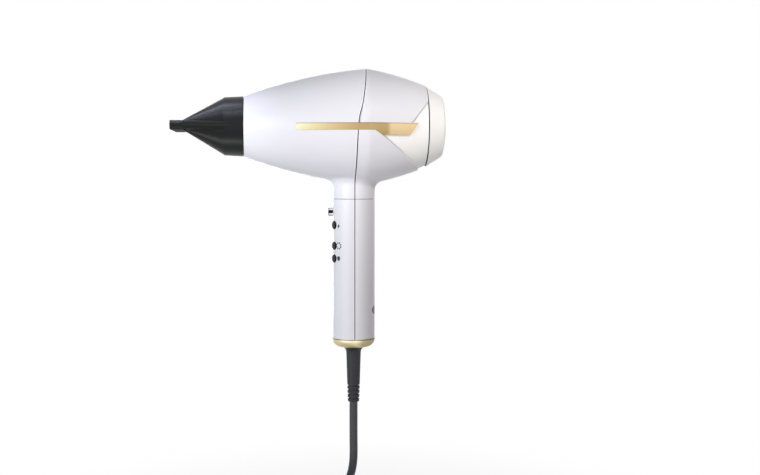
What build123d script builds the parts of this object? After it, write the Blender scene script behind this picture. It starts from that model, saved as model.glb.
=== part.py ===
"""Hair dryer held upright by its handle, with a slot nozzle clipped in its mouth.

Millimetres. The origin is the middle of the grip, on the handle's axis. +Z runs up the handle and
-X along the barrel to the nozzle. Stations on the barrel are X, and its radii are about its axis.
"""

import os
from math import asin, cos, degrees, hypot, radians, sin, sqrt, tan

from build123d import *

# Barrel: a swelling cone in front of the crest, and a shorter one behind it.
BARREL_Z = 148.5
FRONT_X = -92.5
FRONT_R = 25.9
CREST_X = 9.8
CREST_R = 49.2
REAR_X = 60.4
REAR_R = 34.8
FRONT_BULGE = 3.5
REAR_BULGE = 1.4
CREST_BLEND = 14.0
WALL = 2.4
RIB = 2.0

# Seam between the front and rear shells, and the grooves that mark the joints.
SEAM_SIDE_X = 1.0
SEAM_SIDE_DROP = 2.5
SEAM_MID_X = 4.9
SEAM_MID_RISE = 17.5
GROOVE = 0.7
GROOVE_DEPTH = 0.7

# Handle.
HANDLE_R = 18.0
HANDLE_WALL = 2.2
HANDLE_FOOT_Z = -31.0
COLLAR_Z = 87.2
NECK_BLEND = 8.0

# Notch in each side of the rear shell, and the cowl that shows through it.
# Drops and rises are from the barrel's axis.
NOTCH_FRONT_X = 20.3
NOTCH_FRONT_DROP = 7.4
NOTCH_LOW_X = 55.2
NOTCH_LOW_DROP = 36.6
NOTCH_KNEE_X = 44.7
NOTCH_HIGH_X = 59.8
NOTCH_HIGH_RISE = 18.8
NOTCH_BEVEL = 0.8
NOTCH_RECESS = 1.5
NOTCH_GAP = 0.3
COWL_FRONT_X = 18.0
COWL_WALL = 1.6
COWL_LIP = 2.0
COWL_WEB_X = 33.0
FIT_GAP = 0.2

# Gold bars, each let into the barrel's side and standing a little proud.
TRIM_FRONT_X = -49.3
TRIM_STEP_X = 14.6
TRIM_STEP_RUN = 6.7
TRIM_REAR_X = 51.2
TRIM_REAR_RUN = 7.3
TRIM_RISE = 1.3
TRIM_THIN = 5.7
TRIM_WIDE = 9.7
TRIM_PROUD = 0.5
TRIM_SEAT = 1.0
TRIM_GAP = 0.1

# Rear cap: a truncated cone with a shallow domed grille, on a spigot inside the cowl's lip.
CAP_GAP = 0.5
CAP_R = 34.2
CAP_CORNER_X = 74.8
CAP_CORNER_R = 25.6
CAP_CORNER_BLEND = 4.0
CAP_END_X = 77.9
CAP_WALL = 2.0
CAP_LIP_R = 30.5
CAP_SPIGOT = 5.0
GRILLE_HUB_R = 4.0
GRILLE_PITCH = 3.4
GRILLE_SLOT = 1.9
GRILLE_RINGS = 6
GRILLE_SPOKES = 10
GRILLE_SPOKE = 1.5
FILTER_SET = 3.2
FILTER_T = 0.8
FILTER_RIM = 1.6
FILTER_BAR = 0.8
FILTER_PITCH = 4.4

# Mouth, outlet grille and nozzle.
MOUTH_R = 23.4
MOUTH_DEPTH = 10.5
OUTLET_T = 2.5
OUTLET_BAR = 1.2
OUTLET_PITCH = 6.0
OUTLET_SPOKES = 6
NOZZLE_RIM_X = -93.2
NOZZLE_RIM_R = 25.4
NOZZLE_COLLAR_X = -109.2
NOZZLE_COLLAR_R = 24.6
NOZZLE_SLOPE_X = -142.5
NOZZLE_TIP_X = -152.4
NOZZLE_HEIGHT = 7.6
NOZZLE_WIDTH = 66.0
NOZZLE_WEDGE_WIDTH = 55.0
NOZZLE_DUCT_X = -101.0
NOZZLE_DUCT_WIDTH = 48.4
NOZZLE_STEP = 0.15
NOZZLE_FLAT = 0.5
NOZZLE_BLEND = 0.8
NOZZLE_EDGE = 1.2
NOZZLE_WALL = 1.4
NOZZLE_WEB = 2.0
SKIRT_WALL = 1.3
RING_WALL = 1.6
RING_LENGTH = 8.6
BEAD_SET = 4.8
BEAD = 1.2
BEAD_HEIGHT = 0.5
SLIDE_GAP = 0.2
RUNNING_GAP = 0.06

# Heater: mica sleeve and cross, ribbon windings and cut-out.
SLEEVE_R = 26.4
SLEEVE_WALL = 0.8
SLEEVE_REAR_X = -22.0
SLEEVE_SOCKET = 4.0
MICA_T = 1.0
MICA_GAP = 0.3
MICA_REAR_X = -32.0
WINDING_R = 21.0
WINDING_T = 1.4
WINDINGS = 6
WINDING_PITCH = 7.0
WINDING_FRONT_X = -73.0
CUTOUT_X = -60.0
CUTOUT_OFFSET = 4.0
CUTOUT_LENGTH = 12.0
CUTOUT_WIDTH = 7.0
CUTOUT_T = 4.0

# Fan duct, motor and fan.
DUCT_R = 34.0
DUCT_WALL = 1.6
DUCT_FRONT_X = -12.0
DUCT_REAR_X = 42.0
FRONT_RIB_X = -6.0
MOTOR_R = 13.9
MOTOR_FRONT_X = -26.0
MOTOR_REAR_X = 12.0
MOTOR_BOSS_R = 5.0
MOTOR_BOSS = 2.5
HUB_WALL = 1.6
HUB_FRONT_X = -10.0
STATOR_VANES = 7
STATOR_TURN = 18.0
VANE_T = 1.2
SHAFT_R = 1.5
SHAFT_FRONT_X = -29.5
SHAFT_REAR_X = 31.0
FAN_FRONT_X = 17.0
FAN_REAR_X = 35.0
FAN_HUB_R = 15.4
FAN_NOSE = 6.0
FAN_TIP_GAP = 0.6
FAN_BLADES = 9
BLADE_T = 1.3
BLADE_CHORD = 15.0
BLADE_SET = 7.2
BLADE_ROOT_TURN = 38.0
BLADE_TIP_TURN = 58.0

# Buttons on the handle's front. Turns are from the front line towards -Y, drops from the collar.
ROUND_R = 3.5
ROUND_PROUD = 0.8
ROUND_TURN = 22.0
ROUND_EDGE = 0.5
STEM_R = 1.5
STEM_END = 13.3
ROUND_DROPS = (22.0, 39.6, 50.4)
ROUND_NAMES = ("upper_button", "middle_button", "lower_button")
COOL_DROP = 10.8
COOL_HEIGHT = 7.0
COOL_WIDTH = 6.4
COOL_PROUD = 3.8
COOL_EDGE = 0.9
COOL_BAND = 1.8
COOL_BAND_DEPTH = 2.6
COOL_STEM_END = 13.0
BUTTON_GAP = 0.15
FLANGE = 0.9
FLANGE_T = 1.0
FLANGE_REST = 0.1
BOARD_FRONT_X = -8.4
BOARD_T = 1.6
BOARD_DROP = 3.2
BOARD_LENGTH = 60.0
BOARD_GAP = 0.15
SWITCH_WIDTH = 5.0
SWITCH_T = 2.4

# Screw, plug, clamp, gold ring and strain relief. Rises are from the handle's foot.
PLUG_RISE = 24.1
PLUG_HEIGHT = 8.7
PLUG_WIDTH = 19.8
PLUG_DEPTH = 1.2
SCREW_R = 1.5
SCREW_HEAD_R = 2.8
SCREW_HEAD = 2.0
SCREW_SEAT_X = 9.0
SCREW_END_X = -11.0
SCREW_GAP = 0.1
BOSS_R = 3.6
BOSS_SPLIT_X = -2.0
CLAMP_RISE = 13.0
CLAMP_WIDTH = 22.0
CLAMP_HEIGHT = 6.0
CLAMP_T = 3.0
CLAMP_SCREW_SPACING = 15.0
CLAMP_SCREW_R = 1.3
CLAMP_SCREW_HEAD_R = 2.3
CLAMP_SCREW_HEAD = 1.5
CLAMP_SCREW_END_X = -6.0
CLAMP_BOSS_R = 2.6
RING_STRAIGHT = 2.2
RING_DEPTH = 7.7
RING_FOOT_R = 9.6
RING_SPIGOT = 4.0
RING_SPIGOT_WALL = 1.8
CORD_R = 3.5
RELIEF_NECK_R = 8.9
RELIEF_FLANGE_R = 11.5
RELIEF_FLANGE = 2.5
RELIEF_LIP = 0.5
RELIEF_FLARE = 3.5
RELIEF_WAIST_R = 5.65
RELIEF_LENGTH = 47.3
RELIEF_END_R = 4.5
RELIEF_GROOVES = 4
RELIEF_GROOVE_PITCH = 3.6
RELIEF_GROOVE = 1.2
RELIEF_GROOVE_R = 4.1
INNER_CORD_RISE = 18.0

# Cord that isn't coiled, by its points, and the coil that the rest is wound into.
COIL_X = -58.0
COIL_R = 42.0
COIL_TOP_Z = -168.0
COIL_WIDTH = 21.0
COIL_HEIGHT = 21.0
COIL_EDGE = 3.4
LEAD = [
    (0, 0, -86.0),
    (0, 0, -115.5),
    (0.2, -0.8, -142.0),
    (-5.5, 8.0, -160.8),
    (-14.5, 22.5, -171.5),
    (-27.0, 39.0, -171.5),
]
TAIL = [
    (-49.0, -48.4, -185.5),
    (-34.0, -45.0, -185.5),
    (-19.0, -39.0, -183.5),
    (-4.0, -33.5, -176.5),
    (11.0, -31.0, -171.5),
    (26.0, -31.0, -171.5),
]

# Two-pin moulded plug, lying beside the coil with its pins along +X.
PLUG_BODY_R = 17.5
PLUG_BODY = 22.0
PLUG_EDGE = 2.5
PLUG_NECK_R = 8.0
PLUG_TAIL_R = 5.0
PLUG_TAIL = 16.0
PIN_R = 2.4
PIN_LENGTH = 19.0
PIN_SPACING = 19.0

FAR = 240.0

# Heights and places that follow from the sizes above.
seam_side_z = BARREL_Z - SEAM_SIDE_DROP
seam_mid_z = BARREL_Z + SEAM_MID_RISE
notch_front_z = BARREL_Z - NOTCH_FRONT_DROP
notch_low_z = BARREL_Z - NOTCH_LOW_DROP
notch_high_z = BARREL_Z + NOTCH_HIGH_RISE
trim_top_z = BARREL_Z + TRIM_RISE
bead_x = NOZZLE_RIM_X + BEAD_SET
round_heights = [COLLAR_Z - drop for drop in ROUND_DROPS]
cool_z = COLLAR_Z - COOL_DROP
plug_z_mid = HANDLE_FOOT_Z + PLUG_RISE
clamp_z = HANDLE_FOOT_Z + CLAMP_RISE
ring_foot_z = HANDLE_FOOT_Z - RING_DEPTH
relief_end_z = ring_foot_z - RELIEF_LENGTH

BARREL_PLANE = Plane(origin=(0, 0, BARREL_Z), x_dir=(1, 0, 0), z_dir=(0, -1, 0))
BARREL_AXIS = Axis((0, 0, BARREL_Z), (1, 0, 0))


# Ways of making a form ---------------------------------------------------------------------------


def bulged(start, end, bulge):
    """An arc from start to end that stands bulge above the straight line at its middle."""
    dx = end[0] - start[0]
    dy = end[1] - start[1]
    run = hypot(dx, dy)
    middle = ((start[0] + end[0]) / 2 - dy / run * bulge, (start[1] + end[1]) / 2 + dx / run * bulge)
    return ThreePointArc(start, middle, end)


def closed(points):
    """The straight sides through the points and back to the first."""
    return [Line(a, b) for a, b in zip(points, points[1:] + points[:1])]


def dome(shoulder, crown_x):
    """An arc from the axis at crown_x round to the shoulder, part of a ball centred on the axis."""
    depth = crown_x - shoulder[0]
    ball_r = (depth**2 + shoulder[1] ** 2) / (2 * depth)
    return CenterArc((crown_x - ball_r, 0), ball_r, 0, degrees(asin(shoulder[1] / ball_r)))


def turned_on_barrel(edges):
    """A solid turned about the barrel's axis from an outline of stations and radii."""
    return revolve(BARREL_PLANE * make_face(edges), BARREL_AXIS)


def turned_on_handle(edges):
    """A solid turned about the handle's axis from an outline of radii and heights."""
    return revolve(Plane.XZ * make_face(edges), Axis.Z)


def rod(x0, x1, r):
    """A round bar on the barrel's axis."""
    return Pos((x0 + x1) / 2, 0, BARREL_Z) * Rot(0, 90, 0) * Cylinder(r, x1 - x0)


def post(z0, z1, r):
    """A round bar on the handle's axis."""
    return Pos(0, 0, (z0 + z1) / 2) * Cylinder(r, z1 - z0)


def block(x0, x1, y0, y1, z0, z1):
    """A square block between two corners."""
    return Pos((x0 + x1) / 2, (y0 + y1) / 2, (z0 + z1) / 2) * Box(x1 - x0, y1 - y0, z1 - z0)


def through(edges, grow=0.0):
    """A side-view outline carried right across the dryer, grown all round by a gap."""
    face = make_face(edges)
    if grow:
        face = offset(face, amount=grow, kind=Kind.INTERSECTION)
    return extrude(Plane.XZ * face, amount=FAR / 2, both=True)


def round_barrel(part, angle):
    """The part turned about the barrel's axis."""
    return Pos(0, 0, BARREL_Z) * Rot(angle, 0, 0) * Pos(0, 0, -BARREL_Z) * part


def joined(parts):
    """Parts fused into one."""
    whole = parts[0]
    for part in parts[1:]:
        whole += part
    return whole


nodes = {}


def keep(name, part):
    """Notes a finished piece under its node's name."""
    nodes[name] = part


# Barrel and handle forms -------------------------------------------------------------------------


def barrel(inset=0.0):
    """The barrel's outer form with its surface moved in, from the mouth to the rear rim."""
    front = (FRONT_X, FRONT_R - inset)
    crest = (CREST_X, CREST_R - inset)
    rear = (REAR_X, REAR_R - inset)
    sides = [Line(rear, (REAR_X, 0)), Line((REAR_X, 0), (FRONT_X, 0)), Line((FRONT_X, 0), front)]
    face = make_face([bulged(front, crest, FRONT_BULGE), bulged(crest, rear, REAR_BULGE)] + sides)
    corner = face.vertices().sort_by_distance((*crest, 0))[0]
    face = fillet(corner, CREST_BLEND)
    return revolve(BARREL_PLANE * face, BARREL_AXIS)


def barrel_r(x):
    """The barrel's outer radius at a station, away from the crest's blend."""
    front = x < CREST_X
    x0, r0, x1, r1 = (FRONT_X, FRONT_R, CREST_X, CREST_R) if front else (CREST_X, CREST_R, REAR_X, REAR_R)
    bulge = FRONT_BULGE if front else REAR_BULGE
    chord = hypot(x1 - x0, r1 - r0)
    arc_r = (chord**2 / 4 + bulge**2) / (2 * bulge)
    centre_x = (x0 + x1) / 2 + (r1 - r0) / chord * (arc_r - bulge)
    centre_r = (r0 + r1) / 2 - (x1 - x0) / chord * (arc_r - bulge)
    return centre_r + sqrt(arc_r**2 - (x - centre_x) ** 2)


def outer_form():
    """Barrel and handle as one body, blended at the neck."""
    body = barrel() + post(HANDLE_FOOT_Z, BARREL_Z, HANDLE_R)
    neck = [
        e
        for e in body.edges()
        if e.center().Z > COLLAR_Z + 5
        and all(abs(hypot((e @ t).X, (e @ t).Y) - HANDLE_R) < 0.01 for t in (0.0, 0.3, 0.7, 1.0))
    ]
    return fillet(neck, NECK_BLEND)


def front_of_seam(shift=0.0):
    """Everything in front of the seam, or of the seam moved back by shift."""
    top_z = BARREL_Z + CREST_R
    side = (SEAM_SIDE_X + shift, seam_side_z)
    top = (CREST_X + shift, top_z)
    edges = [
        Line((-FAR, -FAR), (shift, -FAR)),
        Line((shift, -FAR), (shift, COLLAR_Z)),
        Line((shift, COLLAR_Z), side),
        ThreePointArc(side, (SEAM_MID_X + shift, seam_mid_z), top),
        Line(top, (CREST_X + shift, FAR)),
        Line((CREST_X + shift, FAR), (-FAR, FAR)),
        Line((-FAR, FAR), (-FAR, -FAR)),
    ]
    return through(edges)


def notch(grow=0.0):
    """The side-on wedge cut out of the rear shell, open to the rear."""
    reach = REAR_X + 20
    low_slope = (notch_low_z - notch_front_z) / (NOTCH_LOW_X - NOTCH_FRONT_X)
    high_slope = (notch_high_z - BARREL_Z) / (NOTCH_HIGH_X - NOTCH_KNEE_X)
    points = [
        (NOTCH_FRONT_X, notch_front_z),
        (reach, notch_front_z + low_slope * (reach - NOTCH_FRONT_X)),
        (reach, BARREL_Z + high_slope * (reach - NOTCH_KNEE_X)),
        (NOTCH_KNEE_X, BARREL_Z),
    ]
    return through(closed(points), grow)


def on_barrel(edge):
    """True for an edge that lies in the barrel's outer surface."""
    places = [edge @ t for t in (0.1, 0.5, 0.9)]
    return all(abs(hypot(p.Y, p.Z - BARREL_Z) - barrel_r(p.X)) < 0.02 for p in places)


def on_notch(edge):
    """True for an edge that lies in one of the notch's two flat walls."""
    low_way = Vector(NOTCH_LOW_X - NOTCH_FRONT_X, 0, notch_low_z - notch_front_z)
    high_way = Vector(NOTCH_HIGH_X - NOTCH_KNEE_X, 0, notch_high_z - BARREL_Z)
    knee_way = Vector(NOTCH_KNEE_X - NOTCH_FRONT_X, 0, BARREL_Z - notch_front_z)
    start = Vector(NOTCH_FRONT_X, 0, notch_front_z)
    knee = Vector(NOTCH_KNEE_X, 0, BARREL_Z)
    for point, way in ((start, low_way), (knee, high_way), (start, knee_way)):
        offsets = [(edge @ t - point).cross(way).Y / way.length for t in (0.1, 0.5, 0.9)]
        if max(abs(d) for d in offsets) < 0.02:
            return True
    return False


def trim_bar(grow=0.0):
    """The gold bar's side-on outline, thin in front and wider behind its step."""
    points = [
        (TRIM_FRONT_X, trim_top_z - TRIM_THIN),
        (TRIM_STEP_X, trim_top_z - TRIM_THIN),
        (TRIM_STEP_X + TRIM_STEP_RUN, trim_top_z - TRIM_WIDE),
        (TRIM_REAR_X - TRIM_REAR_RUN, trim_top_z - TRIM_WIDE),
        (TRIM_REAR_X, trim_top_z),
        (TRIM_FRONT_X, trim_top_z),
    ]
    return through(closed(points), grow)


outer = outer_form()
mouth_rear_x = FRONT_X + MOUTH_DEPTH
hollow_x = block(mouth_rear_x, REAR_X, -FAR, FAR, -FAR, FAR)
handle_bore_r = HANDLE_R - HANDLE_WALL
cavity = (barrel(WALL) & hollow_x) + rod(FRONT_X, mouth_rear_x, MOUTH_R)
cavity += post(HANDLE_FOOT_Z, BARREL_Z, handle_bore_r)
casing = outer - cavity

front_side = front_of_seam(0.0)
groove_skin = outer - barrel(GROOVE_DEPTH) - post(HANDLE_FOOT_Z, BARREL_Z, HANDLE_R - GROOVE_DEPTH)
seam_groove = (front_of_seam(GROOVE / 2) - front_of_seam(-GROOVE / 2)) & groove_skin
collar_groove = post(COLLAR_Z - GROOVE / 2, COLLAR_Z + GROOVE / 2, HANDLE_R + 1)
collar_groove -= post(COLLAR_Z - GROOVE, COLLAR_Z + GROOVE, HANDLE_R - GROOVE_DEPTH)
trim_seat = trim_bar(TRIM_GAP) & (barrel(-TRIM_PROUD) - barrel(TRIM_SEAT))
casing -= seam_groove
casing -= collar_groove
casing -= trim_seat

above_collar = block(-FAR, FAR, -FAR, FAR, COLLAR_Z, FAR)
below_collar = block(-FAR, FAR, -FAR, FAR, -FAR, COLLAR_Z)

# Barrel shells -----------------------------------------------------------------------------------

duct_outer_r = DUCT_R + DUCT_WALL
front_rib = (barrel(WALL) & block(FRONT_RIB_X, FRONT_RIB_X + RIB, -FAR, FAR, COLLAR_Z, FAR))
front_rib -= rod(FRONT_RIB_X, FRONT_RIB_X + RIB, duct_outer_r)
front_rib -= post(COLLAR_Z, BARREL_Z, handle_bore_r)
keep("front_shell", (casing & front_side & above_collar) + front_rib)
rear_form = ((casing & above_collar) - front_side) - notch()
notch_edges = [
    e for e in rear_form.edges()
    if e.center().X > NOTCH_FRONT_X and on_barrel(e) and on_notch(e)
]
keep("rear_shell", chamfer(notch_edges, NOTCH_BEVEL))

# Cowl: a sleeve inside the rear shell, with panels that fill the notches a little below flush.
cowl_inset = WALL + FIT_GAP
cowl_zone = block(COWL_FRONT_X, REAR_X, -FAR, FAR, -FAR, FAR)
sleeve = (barrel(cowl_inset) - barrel(cowl_inset + COWL_WALL)) & cowl_zone
panels = (barrel(NOTCH_RECESS) - barrel(cowl_inset + COWL_WALL / 2)) & notch(-NOTCH_GAP) & cowl_zone
web = barrel(cowl_inset + COWL_WALL / 2) & block(COWL_WEB_X, COWL_WEB_X + RIB, -FAR, FAR, -FAR, FAR)
web -= rod(COWL_WEB_X, COWL_WEB_X + RIB, duct_outer_r)
lip = barrel(cowl_inset + COWL_WALL / 2) & block(REAR_X - COWL_LIP, REAR_X, -FAR, FAR, -FAR, FAR)
lip -= rod(REAR_X - COWL_LIP, REAR_X, CAP_LIP_R)
cowl = sleeve + panels + web + lip
keep("rear_cowl", cowl - trim_seat)

# Gold bars.
trim = trim_bar() & (barrel(-TRIM_PROUD) - barrel(TRIM_SEAT))
keep("trim_left", trim & block(-FAR, FAR, -FAR, 0, -FAR, FAR))
keep("trim_right", trim & block(-FAR, FAR, 0, FAR, -FAR, FAR))

# Rear cap and filter -----------------------------------------------------------------------------

cap_front_x = REAR_X + CAP_GAP


def cap_form(inset):
    """The cap's outer form with its surface moved in."""
    rim = (cap_front_x, CAP_R - inset)
    corner = (CAP_CORNER_X - inset, CAP_CORNER_R - inset)
    crown = (CAP_END_X - inset, 0)
    edges = [Line(rim, corner), dome(corner, crown[0])]
    edges += [Line(crown, (cap_front_x, 0)), Line((cap_front_x, 0), rim)]
    face = make_face(edges)
    bend = face.vertices().sort_by_distance((*corner, 0))[0]
    return revolve(BARREL_PLANE * fillet(bend, CAP_CORNER_BLEND), BARREL_AXIS)


def across(x):
    """The plane across the barrel's axis at a station, facing the nozzle's tip."""
    return Plane(origin=(x, 0, BARREL_Z), x_dir=(0, 1, 0), z_dir=(-1, 0, 0))


def grille_openings(x0, x1, hub_r, slot, pitch, rings, spokes, spoke):
    """Ring-shaped slots about the barrel's axis, with spokes left between them."""
    slots = Sketch()
    for i in range(rings):
        r = hub_r + i * pitch
        slots += Circle(r + slot) - Circle(r)
    reach = hub_r + rings * pitch
    for i in range(spokes):
        slots -= Rot(0, 0, i * 360 / spokes) * Pos(reach / 2 + spoke, 0) * Rectangle(reach, spoke)
    return extrude(across(x1) * slots, amount=x1 - x0)


cap = cap_form(0) - cap_form(CAP_WALL)
spigot_r = CAP_LIP_R - SLIDE_GAP
spigot = rod(REAR_X - CAP_SPIGOT, cap_front_x + CAP_WALL, spigot_r)
spigot += rod(cap_front_x, cap_front_x + CAP_WALL, CAP_R - CAP_WALL)
spigot -= rod(REAR_X - CAP_SPIGOT, cap_front_x + CAP_WALL, spigot_r - CAP_WALL)
cap += spigot
cap -= grille_openings(CAP_CORNER_X - CAP_WALL - CAP_CORNER_BLEND, CAP_END_X + 1, GRILLE_HUB_R, GRILLE_SLOT,
                       GRILLE_PITCH, GRILLE_RINGS, GRILLE_SPOKES, GRILLE_SPOKE)
keep("rear_cap", cap)

# The filter is a grid in a rim, just inside the cap's end wall.
filter_x = CAP_CORNER_X - CAP_WALL - FILTER_SET
filter_end_x = filter_x + FILTER_T
cap_inner_cone_r = CAP_R - CAP_WALL - (filter_end_x - cap_front_x) * (CAP_R - CAP_CORNER_R) / (
    CAP_CORNER_X - CAP_WALL - cap_front_x)
filter_r = cap_inner_cone_r - TRIM_GAP
rim = rod(filter_x, filter_end_x, filter_r) - rod(filter_x, filter_end_x, filter_r - FILTER_RIM)
bars = []
for i in range(-int(filter_r / FILTER_PITCH), int(filter_r / FILTER_PITCH) + 1):
    y = i * FILTER_PITCH
    half = sqrt(filter_r**2 - y**2) - FILTER_RIM / 2
    bars.append(block(filter_x, filter_end_x, y - FILTER_BAR / 2, y + FILTER_BAR / 2,
                      BARREL_Z - half, BARREL_Z + half))
    bars.append(block(filter_x, filter_end_x, -half, half,
                      BARREL_Z + y - FILTER_BAR / 2, BARREL_Z + y + FILTER_BAR / 2))
keep("intake_filter", joined([rim] + bars))


# Outlet grille and heater ------------------------------------------------------------------------


outlet_rear_x = mouth_rear_x + OUTLET_T
outlet_r = barrel_r(mouth_rear_x) - WALL - FIT_GAP
outlet_rings = int((outlet_r - OUTLET_BAR) / OUTLET_PITCH)
outlet = rod(mouth_rear_x, outlet_rear_x, outlet_r)
outlet -= grille_openings(mouth_rear_x, outlet_rear_x, OUTLET_BAR * 2, OUTLET_PITCH - OUTLET_BAR, OUTLET_PITCH,
                          outlet_rings, OUTLET_SPOKES, OUTLET_BAR)
keep("outlet_grille", outlet)

sleeve_bore_r = SLEEVE_R - SLEEVE_WALL
heater_sleeve = rod(outlet_rear_x, SLEEVE_REAR_X, SLEEVE_R) - rod(outlet_rear_x, SLEEVE_REAR_X, sleeve_bore_r)
keep("heater_sleeve", heater_sleeve)

windings = []
for i in range(WINDINGS):
    x = WINDING_FRONT_X + i * WINDING_PITCH
    windings.append(rod(x, x + WINDING_T, WINDING_R + WINDING_T) - rod(x, x + WINDING_T, WINDING_R))
mica_r = sleeve_bore_r - MICA_GAP
upright = block(outlet_rear_x, MICA_REAR_X, -MICA_T / 2, MICA_T / 2, BARREL_Z - mica_r, BARREL_Z + mica_r)
cross = upright + round_barrel(upright, 90)
for winding in windings:
    cross -= winding
keep("heater_frame", cross)
keep("heating_coils", Compound(children=[Solid(w.solid().wrapped) for w in windings]))
cutout_z = BARREL_Z + CUTOUT_OFFSET
keep("thermal_cutout", block(CUTOUT_X, CUTOUT_X + CUTOUT_LENGTH, MICA_T / 2, MICA_T / 2 + CUTOUT_T,
                             cutout_z, cutout_z + CUTOUT_WIDTH))

# Fan duct with its funnel, stator vanes and motor hub --------------------------------------------

socket_r = SLEEVE_R + DUCT_WALL
duct_outline = [
    (SLEEVE_REAR_X - SLEEVE_SOCKET, SLEEVE_R),
    (SLEEVE_REAR_X - SLEEVE_SOCKET, socket_r),
    (SLEEVE_REAR_X, socket_r),
    (DUCT_FRONT_X, duct_outer_r),
    (DUCT_REAR_X, duct_outer_r),
    (DUCT_REAR_X, DUCT_R),
    (DUCT_FRONT_X, DUCT_R),
    (SLEEVE_REAR_X, sleeve_bore_r),
    (SLEEVE_REAR_X, SLEEVE_R),
]
hub_r = MOTOR_R + HUB_WALL
vane_front_x = HUB_FRONT_X + VANE_T
vane_rear_x = MOTOR_REAR_X - VANE_T
vane_x = (vane_front_x + vane_rear_x) / 2
vane = Pos(vane_x, 0, 0) * Rot(0, 0, STATOR_TURN) * block(
    -(vane_rear_x - vane_front_x) / 2, (vane_rear_x - vane_front_x) / 2, -VANE_T / 2, VANE_T / 2,
    BARREL_Z, BARREL_Z + duct_outer_r)
vane &= rod(HUB_FRONT_X, MOTOR_REAR_X, DUCT_R + DUCT_WALL / 2) - rod(HUB_FRONT_X, MOTOR_REAR_X, MOTOR_R + HUB_WALL / 2)
hub = rod(HUB_FRONT_X, MOTOR_REAR_X, hub_r) - rod(HUB_FRONT_X, MOTOR_REAR_X, MOTOR_R)
vanes = [round_barrel(vane, i * 360 / STATOR_VANES) for i in range(STATOR_VANES)]
keep("fan_duct", joined([turned_on_barrel(closed(duct_outline)), hub] + vanes))

motor = rod(MOTOR_FRONT_X, MOTOR_REAR_X, MOTOR_R)
motor += rod(MOTOR_FRONT_X - MOTOR_BOSS, MOTOR_REAR_X + MOTOR_BOSS, MOTOR_BOSS_R)
motor -= rod(MOTOR_FRONT_X - MOTOR_BOSS, MOTOR_REAR_X + MOTOR_BOSS, SHAFT_R + RUNNING_GAP)
keep("motor", motor)
keep("motor_shaft", rod(SHAFT_FRONT_X, SHAFT_REAR_X, SHAFT_R))

# Fan: a cup-shaped hub with a domed nose, and blades that turn flatter towards their tips.
fan_nose = (FAN_REAR_X, 0)
fan_shoulder = (FAN_REAR_X - FAN_NOSE, FAN_HUB_R)
fan_edges = [
    Line((FAN_FRONT_X, 0), (FAN_FRONT_X, FAN_HUB_R)),
    Line((FAN_FRONT_X, FAN_HUB_R), fan_shoulder),
    dome(fan_shoulder, FAN_REAR_X),
    Line(fan_nose, (FAN_FRONT_X, 0)),
]
cup_r = FAN_HUB_R - HUB_WALL
core_r = SHAFT_R + HUB_WALL * 1.5
cup = rod(FAN_FRONT_X, FAN_REAR_X - FAN_NOSE - HUB_WALL, cup_r) - rod(FAN_FRONT_X, FAN_REAR_X, core_r)
fan = turned_on_barrel(fan_edges) - cup - rod(FAN_FRONT_X, SHAFT_REAR_X, SHAFT_R)
tip_r = DUCT_R - FAN_TIP_GAP


def blade_section(r, turn):
    """A blade's section at a radius, its chord turned away from the barrel's axis."""
    chord_way = (cos(radians(turn)), sin(radians(turn)), 0)
    seat = Plane(origin=(FAN_FRONT_X + BLADE_SET, 0, BARREL_Z + r), x_dir=chord_way, z_dir=(0, 0, 1))
    return seat * Rectangle(BLADE_CHORD, BLADE_T)


blade = loft([blade_section(FAN_HUB_R - HUB_WALL / 2, BLADE_ROOT_TURN), blade_section(tip_r + 2, BLADE_TIP_TURN)],
             ruled=True)
blade &= rod(FAN_FRONT_X - 5, FAN_REAR_X, tip_r)
fan = joined([fan] + [round_barrel(blade, i * 360 / FAN_BLADES) for i in range(FAN_BLADES)])
keep("fan", fan)

# Nozzle and the ring that clips it in the mouth --------------------------------------------------


def nozzle_form(inset):
    """Cone collar, wedge and flat duct, with the surface moved in."""
    height = NOZZLE_HEIGHT - 2 * inset
    collar = turned_on_barrel(closed([
        (NOZZLE_RIM_X, 0),
        (NOZZLE_RIM_X, NOZZLE_RIM_R - inset),
        (NOZZLE_COLLAR_X, NOZZLE_COLLAR_R - inset),
        (NOZZLE_COLLAR_X, 0),
    ]))
    side = 2 * (NOZZLE_COLLAR_R - inset - NOZZLE_STEP)
    wedge = loft([
        across(NOZZLE_COLLAR_X) * RectangleRounded(side, side, side / 2 - NOZZLE_FLAT),
        across(NOZZLE_SLOPE_X - NOZZLE_BLEND) * RectangleRounded(
            NOZZLE_WEDGE_WIDTH - 2 * inset, height - NOZZLE_BLEND, NOZZLE_EDGE),
    ], ruled=True)
    wide = SlotOverall(NOZZLE_WIDTH - 2 * inset, height)
    duct = loft([
        across(NOZZLE_DUCT_X) * SlotOverall(NOZZLE_DUCT_WIDTH - 2 * inset, height),
        across(NOZZLE_SLOPE_X) * wide,
    ], ruled=True)
    tip = extrude(across(NOZZLE_SLOPE_X) * wide, amount=NOZZLE_SLOPE_X - NOZZLE_TIP_X)
    return joined([collar, wedge, duct, tip])


web_x = NOZZLE_RIM_X - NOZZLE_WEB
airway = nozzle_form(NOZZLE_WALL) - rod(web_x, NOZZLE_RIM_X, NOZZLE_RIM_R)
ring_front_x = NOZZLE_RIM_X + 0.3
ring_rear_x = ring_front_x + RING_LENGTH
ring_outer_r = MOUTH_R - SLIDE_GAP
ring_inner_r = ring_outer_r - RING_WALL
skirt_r = ring_inner_r - RUNNING_GAP
skirt_bore_r = skirt_r - SKIRT_WALL
skirt = rod(web_x, ring_rear_x - 0.3, skirt_r) + rod(bead_x - BEAD / 2, bead_x + BEAD / 2, skirt_r + BEAD_HEIGHT)
nozzle = nozzle_form(0) - airway + skirt
keep("nozzle", nozzle - rod(web_x - 1, ring_rear_x, skirt_bore_r))

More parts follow.
